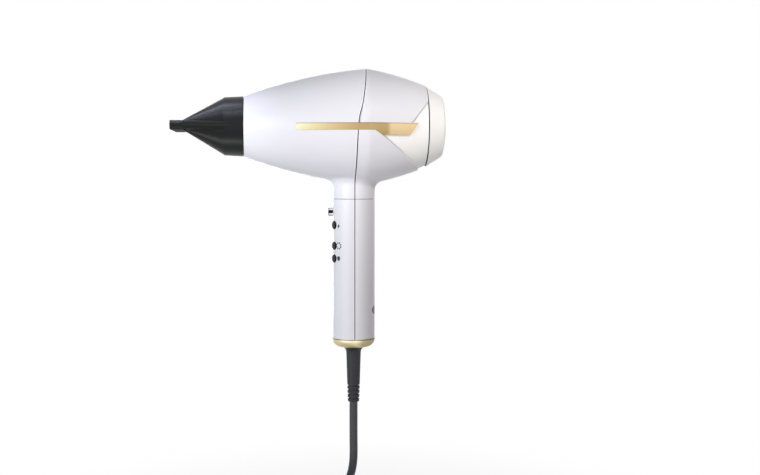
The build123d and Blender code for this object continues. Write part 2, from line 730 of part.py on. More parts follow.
groove_half = BEAD / 2 + BUTTON_GAP
ring = rod(ring_front_x, ring_rear_x, ring_outer_r) - rod(ring_front_x, ring_rear_x, ring_inner_r)
keep("nozzle_ring", ring - rod(bead_x - groove_half, bead_x + groove_half, skirt_r + BEAD_HEIGHT + BUTTON_GAP))

# Handle covers -----------------------------------------------------------------------------------


def on_front(turn):
    """Where a button's own frame stands: x outwards along its way, from the handle's axis."""
    return Rot(0, 0, 180 + turn)


def crosswise(x0, x1, y, z, r):
    """A round bar along X at a place in the handle."""
    return Pos((x0 + x1) / 2, y, z) * Rot(0, 90, 0) * Cylinder(r, abs(x1 - x0))


tube = casing & below_collar
front_cover = tube & front_side
rear_cover = tube - front_side

round_seats = [on_front(ROUND_TURN) * Pos(0, 0, z) for z in round_heights]
for seat in round_seats:
    front_cover -= seat * crosswise(0, FAR, 0, 0, ROUND_R + BUTTON_GAP)
cool_half = COOL_WIDTH / 2 + BUTTON_GAP
cool_hole = block(-FAR, 0, -cool_half, cool_half, cool_z - COOL_HEIGHT / 2 - BUTTON_GAP,
                  cool_z + COOL_HEIGHT / 2 + BUTTON_GAP)
front_cover -= cool_hole

bore_form = post(HANDLE_FOOT_Z, COLLAR_Z, handle_bore_r + HANDLE_WALL / 2)
front_boss = crosswise(-HANDLE_R, BOSS_SPLIT_X, 0, plug_z_mid, BOSS_R) & bore_form
rear_boss = crosswise(BOSS_SPLIT_X, HANDLE_R, 0, plug_z_mid, BOSS_R) & bore_form
clamp_front_x = CORD_R
for y in (-CLAMP_SCREW_SPACING / 2, CLAMP_SCREW_SPACING / 2):
    clamp_boss = crosswise(-HANDLE_R, clamp_front_x, y, clamp_z, CLAMP_BOSS_R) & bore_form
    front_cover += clamp_boss
    front_cover -= crosswise(CLAMP_SCREW_END_X, clamp_front_x, y, clamp_z, CLAMP_SCREW_R)
front_cover += front_boss
front_cover -= crosswise(SCREW_END_X, BOSS_SPLIT_X, 0, plug_z_mid, SCREW_R)

plug_prism = extrude(Plane(origin=(0, 0, plug_z_mid), x_dir=(0, 1, 0), z_dir=(1, 0, 0))
                     * Ellipse(PLUG_WIDTH / 2, PLUG_HEIGHT / 2), amount=FAR)
plug_skin = post(plug_z_mid - PLUG_HEIGHT, plug_z_mid + PLUG_HEIGHT, HANDLE_R)
plug_skin -= post(plug_z_mid - PLUG_HEIGHT, plug_z_mid + PLUG_HEIGHT, HANDLE_R - PLUG_DEPTH)
rear_cover += rear_boss
rear_cover -= plug_prism & plug_skin
rear_cover -= crosswise(SCREW_SEAT_X, FAR, 0, plug_z_mid, SCREW_HEAD_R + SCREW_GAP)
rear_cover -= crosswise(BOSS_SPLIT_X, SCREW_SEAT_X, 0, plug_z_mid, SCREW_R + SCREW_GAP)
keep("handle_front", front_cover)
keep("handle_rear", rear_cover)
keep("rear_plug", plug_prism & plug_skin)

screw = crosswise(SCREW_END_X, SCREW_SEAT_X, 0, plug_z_mid, SCREW_R)
screw += crosswise(SCREW_SEAT_X, SCREW_SEAT_X + SCREW_HEAD, 0, plug_z_mid, SCREW_HEAD_R)
keep("handle_screw", screw)

# Buttons, board and switches ---------------------------------------------------------------------

for name, seat in zip(ROUND_NAMES, round_seats):
    flange_r = ROUND_R + FLANGE
    rest = sqrt(handle_bore_r**2 - flange_r**2) - FLANGE_REST
    button = crosswise(rest, HANDLE_R + ROUND_PROUD, 0, 0, ROUND_R)
    button = fillet(button.edges().sort_by(Axis.X)[-1], ROUND_EDGE)
    button += crosswise(rest - FLANGE_T, rest, 0, 0, flange_r)
    button += crosswise(STEM_END, rest - FLANGE_T, 0, 0, STEM_R)
    keep(name, seat * button)

cool_flange_half = COOL_WIDTH / 2 + FLANGE
cool_rest = sqrt(handle_bore_r**2 - cool_flange_half**2) - FLANGE_REST
cool_out = HANDLE_R + COOL_PROUD
key = block(-cool_out, -cool_rest, -COOL_WIDTH / 2, COOL_WIDTH / 2, -COOL_HEIGHT / 2, COOL_HEIGHT / 2)
key = fillet(key.edges().filter_by(Axis.X) + key.edges().group_by(Axis.X)[0], COOL_EDGE)
band_zone = block(-cool_out, -cool_out + COOL_BAND_DEPTH, -COOL_WIDTH / 2, COOL_WIDTH / 2,
                  -COOL_BAND / 2, COOL_BAND / 2)
band = key & band_zone
key -= band_zone
key += block(-cool_rest, -cool_rest + FLANGE_T, -cool_flange_half, cool_flange_half,
             -COOL_HEIGHT / 2 - FLANGE, COOL_HEIGHT / 2 + FLANGE)
key += crosswise(-cool_rest + FLANGE_T, -COOL_STEM_END, 0, 0, STEM_R)
keep("cool_shot_button", Pos(0, 0, cool_z) * key)
keep("cool_shot_insert", Pos(0, 0, cool_z) * band)

board_half = sqrt(handle_bore_r**2 - BOARD_FRONT_X**2) - BOARD_GAP
keep("switch_board", block(BOARD_FRONT_X, BOARD_FRONT_X + BOARD_T, -board_half, board_half,
                           COLLAR_Z - BOARD_DROP - BOARD_LENGTH, COLLAR_Z - BOARD_DROP))
switch_y = -STEM_END * sin(radians(ROUND_TURN))
places = [(switch_y, z) for z in round_heights] + [(0.0, cool_z)]
switches = [block(BOARD_FRONT_X - SWITCH_T, BOARD_FRONT_X, y - SWITCH_WIDTH / 2, y + SWITCH_WIDTH / 2,
                  z - SWITCH_WIDTH / 2, z + SWITCH_WIDTH / 2) for y, z in places]
keep("tact_switches", Compound(children=[Solid(s.solid().wrapped) for s in switches]))

# Foot of the handle ------------------------------------------------------------------------------

ring_side = (HANDLE_R, HANDLE_FOOT_Z - RING_STRAIGHT)
ring_foot = (RING_FOOT_R, ring_foot_z)
swell = sin(radians(45))
ring_bend = (RING_FOOT_R + (HANDLE_R - RING_FOOT_R) * swell,
             ring_side[1] - (ring_side[1] - ring_foot_z) * swell)
end_ring = turned_on_handle([
    Line((RELIEF_NECK_R, HANDLE_FOOT_Z), (HANDLE_R, HANDLE_FOOT_Z)),
    Line((HANDLE_R, HANDLE_FOOT_Z), ring_side),
    ThreePointArc(ring_side, ring_bend, ring_foot),
    Line(ring_foot, (RELIEF_NECK_R, ring_foot_z)),
    Line((RELIEF_NECK_R, ring_foot_z), (RELIEF_NECK_R, HANDLE_FOOT_Z)),
])
spigot_out = handle_bore_r - TRIM_GAP
end_ring += post(HANDLE_FOOT_Z, HANDLE_FOOT_Z + RING_SPIGOT, spigot_out) - post(
    HANDLE_FOOT_Z, HANDLE_FOOT_Z + RING_SPIGOT, spigot_out - RING_SPIGOT_WALL)
keep("end_ring", end_ring)

lip_z = ring_foot_z - RELIEF_LIP
waist = (RELIEF_WAIST_R, ring_foot_z - RELIEF_FLARE)
flare_bend = (RELIEF_WAIST_R + (RELIEF_NECK_R - RELIEF_WAIST_R) * (1 - swell),
              lip_z + (ring_foot_z - RELIEF_FLARE - lip_z) * swell * 0.6)
relief = turned_on_handle([
    Line((CORD_R, HANDLE_FOOT_Z + RELIEF_FLANGE), (RELIEF_FLANGE_R, HANDLE_FOOT_Z + RELIEF_FLANGE)),
    Line((RELIEF_FLANGE_R, HANDLE_FOOT_Z + RELIEF_FLANGE), (RELIEF_FLANGE_R, HANDLE_FOOT_Z)),
    Line((RELIEF_FLANGE_R, HANDLE_FOOT_Z), (RELIEF_NECK_R, HANDLE_FOOT_Z)),
    Line((RELIEF_NECK_R, HANDLE_FOOT_Z), (RELIEF_NECK_R, lip_z)),
    ThreePointArc((RELIEF_NECK_R, lip_z), flare_bend, waist),
    Line(waist, (RELIEF_END_R, relief_end_z)),
    Line((RELIEF_END_R, relief_end_z), (CORD_R, relief_end_z)),
    Line((CORD_R, relief_end_z), (CORD_R, HANDLE_FOOT_Z + RELIEF_FLANGE)),
])
for i in range(RELIEF_GROOVES):
    z = relief_end_z + RELIEF_GROOVE + i * RELIEF_GROOVE_PITCH
    relief -= post(z, z + RELIEF_GROOVE, RELIEF_NECK_R) - post(z, z + RELIEF_GROOVE, RELIEF_GROOVE_R)
keep("strain_relief", relief)
keep("inner_cord", post(relief_end_z, HANDLE_FOOT_Z + INNER_CORD_RISE, CORD_R))

clamp = block(clamp_front_x, clamp_front_x + CLAMP_T, -CLAMP_WIDTH / 2, CLAMP_WIDTH / 2,
              clamp_z - CLAMP_HEIGHT / 2, clamp_z + CLAMP_HEIGHT / 2)
clamp_screws = []
for y in (-CLAMP_SCREW_SPACING / 2, CLAMP_SCREW_SPACING / 2):
    clamp -= crosswise(clamp_front_x, clamp_front_x + CLAMP_T, y, clamp_z, CLAMP_SCREW_R)
    head_x = clamp_front_x + CLAMP_T
    screw = crosswise(CLAMP_SCREW_END_X, head_x, y, clamp_z, CLAMP_SCREW_R)
    screw += crosswise(head_x, head_x + CLAMP_SCREW_HEAD, y, clamp_z, CLAMP_SCREW_HEAD_R)
    clamp_screws.append(screw)
keep("cord_clamp", clamp)
keep("clamp_screws", Compound(children=[Solid(s.solid().wrapped) for s in clamp_screws]))

# Mains cord and plug -----------------------------------------------------------------------------


def cord_tube(name, points):
    """A round tube along the points, its corners arcs as large as their runs allow."""
    spots = [Vector(*p) for p in points]
    radii = []
    for a, b, c in zip(spots, spots[1:], spots[2:]):
        turn = (b - a).get_angle(c - b)
        radii.append(0.45 * min((b - a).length, (c - b).length) / tan(radians(turn / 2)))
    print(name, "radii", [round(r) for r in radii])
    path = FilletPolyline(*points, radius=radii)
    section = Plane(origin=path @ 0, z_dir=path % 0) * Circle(CORD_R)
    print(name, "length", round(path.length, 1))
    return sweep(section, path=path)


keep("cord_lead", cord_tube("cord_lead", LEAD))
keep("cord_tail", cord_tube("cord_tail", TAIL))
coil_section = Plane(origin=(COIL_R, 0, 0), x_dir=(1, 0, 0), z_dir=(0, -1, 0)) * RectangleRounded(
    COIL_WIDTH, COIL_HEIGHT, COIL_EDGE)
coil = Pos(COIL_X, 0, COIL_TOP_Z - COIL_HEIGHT / 2) * revolve(coil_section, Axis.Z)
keep("cord_coil", coil)

plug_x, plug_y, plug_z = TAIL[-1]
face_x = plug_x + PLUG_TAIL + PLUG_BODY
plug_profile = closed([
    (0, 0),
    (0, PLUG_TAIL_R),
    (PLUG_TAIL, PLUG_NECK_R),
    (PLUG_TAIL, PLUG_BODY_R - PLUG_EDGE),
    (PLUG_TAIL + PLUG_EDGE, PLUG_BODY_R),
    (PLUG_TAIL + PLUG_BODY, PLUG_BODY_R),
    (PLUG_TAIL + PLUG_BODY, 0),
])
plug_plane = Plane(origin=(plug_x, plug_y, plug_z), x_dir=(1, 0, 0), z_dir=(0, -1, 0))
keep("plug_body", revolve(plug_plane * make_face(plug_profile), Axis((plug_x, plug_y, plug_z), (1, 0, 0))))
pins = [crosswise(face_x, face_x + PIN_LENGTH, plug_y + s * PIN_SPACING / 2, plug_z, PIN_R) for s in (-1, 1)]
keep("plug_pins", Compound(children=[Solid(p.solid().wrapped) for p in pins]))

# Output ------------------------------------------------------------------------------------------

os.makedirs("parts", exist_ok=True)
for name, part in nodes.items():
    export_step(part, f"parts/{name}.step")
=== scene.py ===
"""Hair dryer with its slot nozzle, mains cord and plug, dressed for the studio.

Metres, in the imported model's frame: +Z runs up the handle and -X along the barrel to the nozzle.
"""

from math import cos, pi, radians, sin

import bpy
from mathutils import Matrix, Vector


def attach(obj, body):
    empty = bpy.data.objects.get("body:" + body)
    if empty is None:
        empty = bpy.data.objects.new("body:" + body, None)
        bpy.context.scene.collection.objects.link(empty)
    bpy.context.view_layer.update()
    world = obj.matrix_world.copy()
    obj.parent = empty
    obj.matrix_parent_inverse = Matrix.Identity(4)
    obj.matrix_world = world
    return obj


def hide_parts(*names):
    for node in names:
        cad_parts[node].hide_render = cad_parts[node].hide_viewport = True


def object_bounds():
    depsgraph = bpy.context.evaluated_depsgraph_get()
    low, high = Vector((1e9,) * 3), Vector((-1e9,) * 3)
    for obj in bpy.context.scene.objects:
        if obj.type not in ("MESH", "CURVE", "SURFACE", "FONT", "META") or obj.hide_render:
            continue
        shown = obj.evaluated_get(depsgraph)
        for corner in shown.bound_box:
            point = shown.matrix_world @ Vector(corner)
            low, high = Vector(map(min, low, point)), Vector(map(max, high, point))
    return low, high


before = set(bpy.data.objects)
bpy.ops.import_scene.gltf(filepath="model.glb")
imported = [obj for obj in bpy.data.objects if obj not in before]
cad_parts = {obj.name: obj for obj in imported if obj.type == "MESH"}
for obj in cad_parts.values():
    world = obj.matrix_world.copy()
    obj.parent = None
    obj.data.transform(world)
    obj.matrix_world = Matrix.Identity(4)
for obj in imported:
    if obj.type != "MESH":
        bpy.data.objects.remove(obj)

cad_low, cad_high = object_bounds()
bpy.ops.object.select_all(action="DESELECT")
bpy.context.scene.view_settings.view_transform = "Standard"
MM = 0.001

# Camera: a little in front of the barrel's middle, level with the top of the handle. It dips and
# turns slightly, and its shift frames the dryer with room under it for the cord.
CAMERA_DIP = 1.743
CAMERA_TURN = 3.423
camera_data = bpy.data.cameras.new("camera")
camera_data.lens = 54.5
camera_data.shift_x = 0.04
camera_data.shift_y = -0.03
camera = bpy.data.objects.new("camera", camera_data)
camera.location = (-0.0619, -0.9786, 0.1035)
camera.rotation_euler = (radians(90 - CAMERA_DIP), 0, radians(-CAMERA_TURN))
bpy.context.scene.collection.objects.link(camera)
bpy.context.scene.camera = camera


# Mains cord: two-core round cable in black PVC, 7 mm thick and about 2.5 m long. It hangs from the
# sleeve in the handle's foot, is wound into a neat coil for storage, and ends in its plug.


def hex_colour(code):
    """An sRGB hex colour as linear light."""
    parts = [int(code[i:i + 2], 16) / 255 for i in (0, 2, 4)]
    return [c / 12.92 if c <= 0.04045 else ((c + 0.055) / 1.055) ** 2.4 for c in parts] + [1.0]


def blank_material(name):
    """A material with an empty node tree."""
    material = bpy.data.materials.new(name)
    material.use_nodes = True
    material.node_tree.nodes.clear()
    return material, material.node_tree


def add(tree, kind, settings=None, links=None):
    """Adds one node. Settings go by socket or property, and a link brings a socket or a number."""
    node = tree.nodes.new(kind)
    for name, value in (settings or {}).items():
        if isinstance(name, int) or name in node.inputs:
            node.inputs[name].default_value = value
        else:
            setattr(node, name, value)
    for name, source in (links or {}).items():
        if isinstance(source, float):
            node.inputs[name].default_value = source
        else:
            tree.links.new(source, node.inputs[name])
    return node


def moulded(name, light, dark, fleck, low, high, bump, level=0.5, sheen=0.0):
    """A moulded plastic or rubber: two tones that drift, and a fine fleck in its gloss and skin."""
    material, tree = blank_material(name)
    place = add(tree, "ShaderNodeTexCoord").outputs["Object"]
    skin = add(tree, "ShaderNodeTexNoise", {"Scale": fleck, "Detail": 2.0}, {"Vector": place})
    drift = add(tree, "ShaderNodeTexNoise", {"Scale": 22.0, "Detail": 1.0}, {"Vector": place})
    tone = add(tree, "ShaderNodeMixRGB", {"Color1": hex_colour(light), "Color2": hex_colour(dark)},
               {"Fac": drift.outputs["Fac"]})
    gloss = add(tree, "ShaderNodeMapRange", {"To Min": low, "To Max": high},
                {"Value": skin.outputs["Fac"]})
    grain = add(tree, "ShaderNodeBump", {"Strength": bump, "Distance": 0.0001},
                {"Height": skin.outputs["Fac"]})
    shader = add(tree, "ShaderNodeBsdfPrincipled",
                 {"IOR": 1.5, "Specular IOR Level": level, "Sheen Weight": sheen},
                 {"Base Color": tone.outputs["Color"], "Roughness": gloss.outputs["Result"],
                  "Normal": grain.outputs["Normal"]})
    add(tree, "ShaderNodeOutputMaterial", {}, {"Surface": shader.outputs["BSDF"]})
    return material


# PVC jacket: extruded, so it has a soft satin skin. Its fleck is drawn about 1 mm coarse to show.
cord_pvc = moulded("black_pvc_jacket", "303136", "26272B", 900.0, 0.38, 0.5, 0.15)

CORD_R = 3.5
LEAD = [(0, 0, -86), (0, 0, -100), (0, 0, -115.5), (0.2, -0.8, -142), (-5.5, 8.0, -160.8),
        (-14.5, 22.5, -170.7)]
TAIL = [(-47.8, -47.9, -184.7), (-34.0, -45.0, -185.3), (-19.0, -39.0, -183.5), (-4.0, -33.5, -176.5),
        (11.0, -31.0, -171.5), (26.0, -31.0, -171.5)]
COIL_X = -58.0
COIL_ROWS = (-170.7, -177.7, -184.7)
COIL_RADII = (35.0, 42.0, 49.0)
COIL_STEP = 15.0
COIL_START = 42.0
COIL_END = 267.0
# The turns' order through the coil's section, as (column, row) from the inside and the top.
WINDING = [(2, 0), (1, 0), (0, 0), (0, 1), (0, 2), (1, 2), (1, 1), (2, 1), (2, 2)]
# Each turn crosses to the next place over part of a turn, a little sooner than the one before.
SHIFT_START = 276.0
SHIFT_TURN = 100.0
SHIFT_LAG = 2.5

moves = len(WINDING) - 1
coil_points = []
angle = COIL_START
while angle <= COIL_END + 360 * moves:
    passed = 0.0
    for i in range(moves):
        begin = 360 * i + SHIFT_START + SHIFT_LAG * (moves - 1 - i)
        moved = min(max((angle - begin) / SHIFT_TURN, 0.0), 1.0)
        passed += moved * moved * (3 - 2 * moved)
    here = min(int(passed), moves - 1)
    share = passed - here
    r, z = [
        row[WINDING[here][k]] * (1 - share) + row[WINDING[here + 1][k]] * share
        for k, row in enumerate((COIL_RADII, COIL_ROWS))
    ]
    coil_points.append((COIL_X + r * cos(radians(angle)), r * sin(radians(angle)), z))
    angle += COIL_STEP

route = LEAD + coil_points + TAIL
cord_curve = bpy.data.curves.new("mains_cord", "CURVE")
cord_curve.dimensions = "3D"
spline = cord_curve.splines.new("NURBS")
spline.points.add(len(route) - 1)
for point, spot in zip(spline.points, route):
    point.co = (*(Vector(spot) * MM), 1.0)
spline.order_u = 3
spline.use_endpoint_u = True
spline.resolution_u = 4
cord_curve.bevel_depth = CORD_R * MM
cord_curve.bevel_resolution = 3
cord_curve.use_fill_caps = True
cord = bpy.data.objects.new("mains_cord", cord_curve)
bpy.context.scene.collection.objects.link(cord)
cord_curve.materials.append(cord_pvc)
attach(cord, "housing")
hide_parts("cord_lead", "cord_coil", "cord_tail")


# Strap: woven nylon tape, 14 mm wide and 0.7 mm thick, closed round the coil's section to hold it
# wound. Its ribs run round the strap, and its yarns give a dull, slightly furry black.


def wrap(mesh, centre, radius, turn):
    """Lays a mesh round a post: its Y goes round, its X outwards and its Z up."""
    for vertex in mesh.vertices:
        out, along, up = vertex.co
        angle = turn + along / radius
        vertex.co = centre + Vector(((radius + out) * cos(angle), (radius + out) * sin(angle), up))


def selected_object(name):
    """The object an operator has just made, renamed."""
    obj = bpy.context.object
    obj.name = name
    obj.data.name = name
    return obj


STRAP_SIDE = 21.1
STRAP_T = 0.7
STRAP_WIDTH = 14.0
STRAP_STEPS = 7
STRAP_CORNER_STEPS = 5
STRAP_TURN = radians(180)
bpy.ops.mesh.primitive_plane_add(size=STRAP_SIDE * MM, rotation=(radians(90), 0, 0))
strap = selected_object("coil_strap")
bpy.ops.object.transform_apply(rotation=True)
bpy.ops.object.mode_set(mode="EDIT")
bpy.ops.mesh.select_all(action="SELECT")
bpy.ops.mesh.bevel(offset=CORD_R * MM, segments=STRAP_CORNER_STEPS, affect="VERTICES")
bpy.ops.mesh.select_all(action="SELECT")
bpy.ops.mesh.delete(type="ONLY_FACE")
bpy.ops.mesh.select_all(action="SELECT")
strap_step = STRAP_WIDTH / STRAP_STEPS * MM
for step in range(STRAP_STEPS):
    bpy.ops.mesh.extrude_region_move(TRANSFORM_OT_translate={"value": (0, strap_step, 0)})
bpy.ops.mesh.select_all(action="SELECT")
bpy.ops.mesh.normals_make_consistent(inside=False)
bpy.ops.object.mode_set(mode="OBJECT")
thicken = strap.modifiers.new("thickness", "SOLIDIFY")
thicken.thickness = STRAP_T * MM
thicken.offset = 1.0
bpy.ops.object.modifier_apply(modifier="thickness")
wrap(strap.data, Vector((COIL_X, 0, COIL_ROWS[1])) * MM, COIL_RADII[1] * MM, STRAP_TURN)
bpy.ops.object.shade_smooth_by_angle(angle=radians(35))
strap.select_set(False)

woven_nylon, tree = blank_material("black_woven_nylon_tape")
place = add(tree, "ShaderNodeTexCoord").outputs["Object"]
ribs = add(tree, "ShaderNodeTexWave", {"wave_type": "BANDS", "bands_direction": "Y", "Scale": 300.0,
                                      "Distortion": 1.0}, {"Vector": place})
tone = add(tree, "ShaderNodeMixRGB", {"Color1": hex_colour("1C1D20"), "Color2": hex_colour("2C2D31")},
           {"Fac": ribs.outputs["Fac"]})
weave = add(tree, "ShaderNodeBump", {"Strength": 0.5, "Distance": 0.0002},
            {"Height": ribs.outputs["Fac"]})
shader = add(tree, "ShaderNodeBsdfPrincipled", {"IOR": 1.5, "Roughness": 0.8, "Sheen Weight": 0.3},
             {"Base Color": tone.outputs["Color"], "Normal": weave.outputs["Normal"]})
add(tree, "ShaderNodeOutputMaterial", {}, {"Surface": shader.outputs["BSDF"]})
strap.data.materials.append(woven_nylon)
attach(strap, "housing")


# Studio: a pale floor under the cord and a white surround. A wide soft key stands in front on the
# left, with a narrow one on the barrel, a fill on the right and a soft lamp behind. Small spots give
# the nozzle and the barrel's rear their highlights.
FLOOR = 3.0
FLOOR_NEAR = 0.05
FLOOR_FAR = 0.35
# The floor is seen mostly as plain white, so its shadow is light. From FLOOR_FAR on it is all white.
FLOOR_WHITE = 0.85


def seen_rays(tree):
    """One for a ray that the eye sees, straight, in a gloss or through glass, and zero for light."""
    rays = add(tree, "ShaderNodeLightPath")
    seen = add(tree, "ShaderNodeMath", {"operation": "MAXIMUM"},
               {0: rays.outputs["Is Camera Ray"], 1: rays.outputs["Is Glossy Ray"]})
    seen = add(tree, "ShaderNodeMath", {"operation": "MAXIMUM"},
               {0: seen.outputs[0], 1: rays.outputs["Is Transmission Ray"]})
    return seen.outputs[0]


bpy.ops.mesh.primitive_plane_add(size=2 * FLOOR, location=(0, 0, cad_low.z))
floor = selected_object("studio_floor")
floor.select_set(False)
floor_paint, tree = blank_material("studio_floor_paint")
place = add(tree, "ShaderNodeTexCoord").outputs["Object"]
away = add(tree, "ShaderNodeVectorMath", {"operation": "LENGTH"}, {0: place})
clear = add(tree, "ShaderNodeMapRange",
            {"From Min": FLOOR_NEAR, "From Max": FLOOR_FAR, "To Min": FLOOR_WHITE, "To Max": 1.0,
             "interpolation_type": "SMOOTHSTEP"}, {"Value": away.outputs["Value"]})
kept = add(tree, "ShaderNodeMath", {"operation": "MULTIPLY"},
           {0: seen_rays(tree), 1: clear.outputs["Result"]})
matt = add(tree, "ShaderNodeBsdfDiffuse", {"Color": hex_colour("E6E6E6")})
white = add(tree, "ShaderNodeEmission", {"Strength": 1.0})
both = add(tree, "ShaderNodeMixShader", {},
           {0: kept.outputs[0], 1: matt.outputs["BSDF"], 2: white.outputs["Emission"]})
add(tree, "ShaderNodeOutputMaterial", {}, {"Surface": both.outputs["Shader"]})
floor.data.materials.append(floor_paint)

world = bpy.data.worlds.new("studio_surround")
bpy.context.scene.world = world
world.use_nodes = True
tree = world.node_tree
tree.nodes.clear()
dim = add(tree, "ShaderNodeBackground", {"Color": hex_colour("EEEEF2"), "Strength": 0.18})
bright = add(tree, "ShaderNodeBackground", {"Color": hex_colour("FFFFFF"), "Strength": 1.0})
both = add(tree, "ShaderNodeMixShader", {},
           {0: seen_rays(tree), 1: dim.outputs["Background"], 2: bright.outputs["Background"]})
add(tree, "ShaderNodeOutputWorld", {}, {"Surface": both.outputs["Shader"]})

KEY_PLACE = (-0.95, -0.86, 0.26)
# The spots that light the nozzle, by their place across and up and their power in watts.
NOZZLE_LAMPS = [(-0.62, 0.93, 15.0), (-0.3, 1.1, 6.0), (-0.04, 1.14, 15.0)]


def lamp(name, kind, place, aim, power, colour, **shape):
    """A soft lamp at a place, turned to its aim."""
    data = bpy.data.lights.new(name, kind)
    data.energy = power
    data.color = hex_colour(colour)[:3]
    for setting, value in shape.items():
        setattr(data, setting, value)
    obj = bpy.data.objects.new(name, data)
    obj.location = place
    obj.rotation_euler = (Vector(aim) - Vector(place)).to_track_quat("-Z", "Y").to_euler()
    bpy.context.scene.collection.objects.link(obj)


lamp("key_lamp", "AREA", KEY_PLACE, (-0.05, 0, 0.12), 10.2, "F8F9FF", size=0.7)
lamp("barrel_lamp", "SPOT", KEY_PLACE, (-0.04, -0.02, 0.146), 11.0, "F8F9FF",
     spot_size=radians(7.6), spot_blend=0.7, shadow_soft_size=0.03)
lamp("fill_lamp", "AREA", (0.42, -1.12, 0.16), (0.02, 0, 0.09), 3.8, "FFF6EA", size=0.8)
lamp("back_lamp", "AREA", (-0.3, 1.2, 0.2), (0, 0, 0.1), 9.0, "FBFAFF", size=0.8)
for number, (y, z, power) in enumerate(NOZZLE_LAMPS):
    lamp(f"nozzle_lamp_{number}", "SPOT", (-0.25, y, z), (-0.13, -0.012, 0.155), power, "E0E6FF",
         spot_size=radians(6.5), spot_blend=0.7, shadow_soft_size=0.03)
lamp("nozzle_lamp_low", "SPOT", (-0.15, -0.17, -0.16), (-0.114, -0.02, 0.14), 0.9, "FFFFFF",
     spot_size=radians(15), spot_blend=0.6, shadow_soft_size=0.03)
lamp("rear_lamp", "SPOT", (0.35, -0.78, 0.72), (0.078, -0.03, 0.165), 23.0, "FFFDF9",
     spot_size=radians(12), spot_blend=1.0, shadow_soft_size=0.06)


# Shells: front and rear barrel shells and the handle's two covers, injection-moulded in ABS and
# lacquered white. The joint between front and rear runs from the crest down to the gold ring, and a
# finer one parts the handle's covers from the barrel.


def finish_nodes(material, *names):
    """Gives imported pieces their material."""
    for name in names:
        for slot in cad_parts[name].material_slots:
            slot.material = material


# Width of the painted highlight on each side of a joint's line of painted shade.
PAINTED_LIP = 0.0005


def white_lacquer(name, light, dark, joint, half, line):
    """Glossy white lacquer over ABS: a soft clear shine with a faint ripple, and a drift of tone.
    The joint gives the distance from its line. Along it the colour holds painted shade, with a painted
    highlight on each side."""
    material, tree = blank_material(name)
    place = add(tree, "ShaderNodeTexCoord").outputs["Object"]
    drift = add(tree, "ShaderNodeTexNoise", {"Scale": 9.0, "Detail": 1.0}, {"Vector": place})
    ripple = add(tree, "ShaderNodeTexNoise", {"Scale": 260.0, "Detail": 1.0}, {"Vector": place})
    tone = add(tree, "ShaderNodeMixRGB", {"Color1": hex_colour(light), "Color2": hex_colour(dark)},
               {"Fac": drift.outputs["Fac"]})
    far = joint(tree, add(tree, "ShaderNodeSeparateXYZ", {}, {"Vector": place}))
    # Painted shade along the joint, and a painted highlight beside it.
    near = add(tree, "ShaderNodeMath", {"operation": "LESS_THAN", 1: half}, {0: far})
    beside = add(tree, "ShaderNodeMath", {"operation": "LESS_THAN", 1: half + PAINTED_LIP}, {0: far})
    highlit = add(tree, "ShaderNodeMixRGB", {"Color2": hex_colour("FAFAFC")},
                {"Fac": beside.outputs[0], "Color1": tone.outputs["Color"]})
    paint = add(tree, "ShaderNodeMixRGB", {"Color2": hex_colour(line)},
                {"Fac": near.outputs[0], "Color1": highlit.outputs["Color"]})
    gloss = add(tree, "ShaderNodeMapRange", {"To Min": 0.28, "To Max": 0.36},
                {"Value": ripple.outputs["Fac"]})
    peel = add(tree, "ShaderNodeBump", {"Strength": 0.03, "Distance": 0.0002},
               {"Height": ripple.outputs["Fac"]})
    shader = add(tree, "ShaderNodeBsdfPrincipled", {"IOR": 1.5, "Specular IOR Level": 0.22},
                 {"Base Color": paint.outputs["Color"], "Roughness": gloss.outputs["Result"],
                  "Normal": peel.outputs["Normal"]})
    add(tree, "ShaderNodeOutputMaterial", {}, {"Surface": shader.outputs["BSDF"]})
    return material


# How far back the seam lies, by height. Its curve counts this in shares of SEAM_REACH.
SEAM = [(-0.04, 0.0), (0.0872, 0.0), (0.146, 0.001), (0.166, 0.0049), (0.180, 0.00726), (0.1977, 0.0098)]
SEAM_HALF = 0.00042
SEAM_REACH = 0.02
# The covers' joint stands at one height, and its line is thinner than the seam's by this.
COLLAR = 0.0872
COLLAR_THIN = 1.7


def distance(tree, value, line, scale=1.0):
    """How far a coordinate is from a line, times a scale."""
    off = add(tree, "ShaderNodeMath", {"operation": "SUBTRACT"}, {0: value, 1: line})
    scaled = add(tree, "ShaderNodeMath", {"operation": "MULTIPLY", 1: scale}, {0: off.outputs[0]})
    return add(tree, "ShaderNodeMath", {"operation": "ABSOLUTE"}, {0: scaled.outputs[0]}).outputs[0]


def shell_seam(tree, spot):
    """The shells' joints: one straight up the handle, leaning back over the barrel, and the fine one
    where the handle's covers meet the barrel."""
    low, high = SEAM[0][0], SEAM[-1][0]
    height = add(tree, "ShaderNodeMapRange", {"From Min": low, "From Max": high},
                 {"Value": spot.outputs["Z"]})
    line = add(tree, "ShaderNodeFloatCurve", {}, {"Value": height.outputs["Result"]})
    curve = line.mapping.curves[0]
    while len(curve.points) < len(SEAM):
        curve.points.new(0.5, 0.5)
    for point, (z, x) in zip(curve.points, SEAM):
        point.location = ((z - low) / (high - low), x / SEAM_REACH)
        point.handle_type = "AUTO_CLAMPED"
    line.mapping.update()
    shift = add(tree, "ShaderNodeMath", {"operation": "MULTIPLY", 1: SEAM_REACH},
                {0: line.outputs["Value"]})
    nearer = add(tree, "ShaderNodeMath", {"operation": "MINIMUM"},
                 {0: distance(tree, spot.outputs["X"], shift.outputs[0]),
                  1: distance(tree, spot.outputs["Z"], COLLAR, COLLAR_THIN)})
    return nearer.outputs[0]


# The joints' dark colour is painted shade.
cool_white = white_lacquer("cool_white_lacquer", "E7E7EC", "E1E1E8", shell_seam, SEAM_HALF, "34353B")
finish_nodes(cool_white, "front_shell", "rear_shell", "handle_front", "handle_rear")
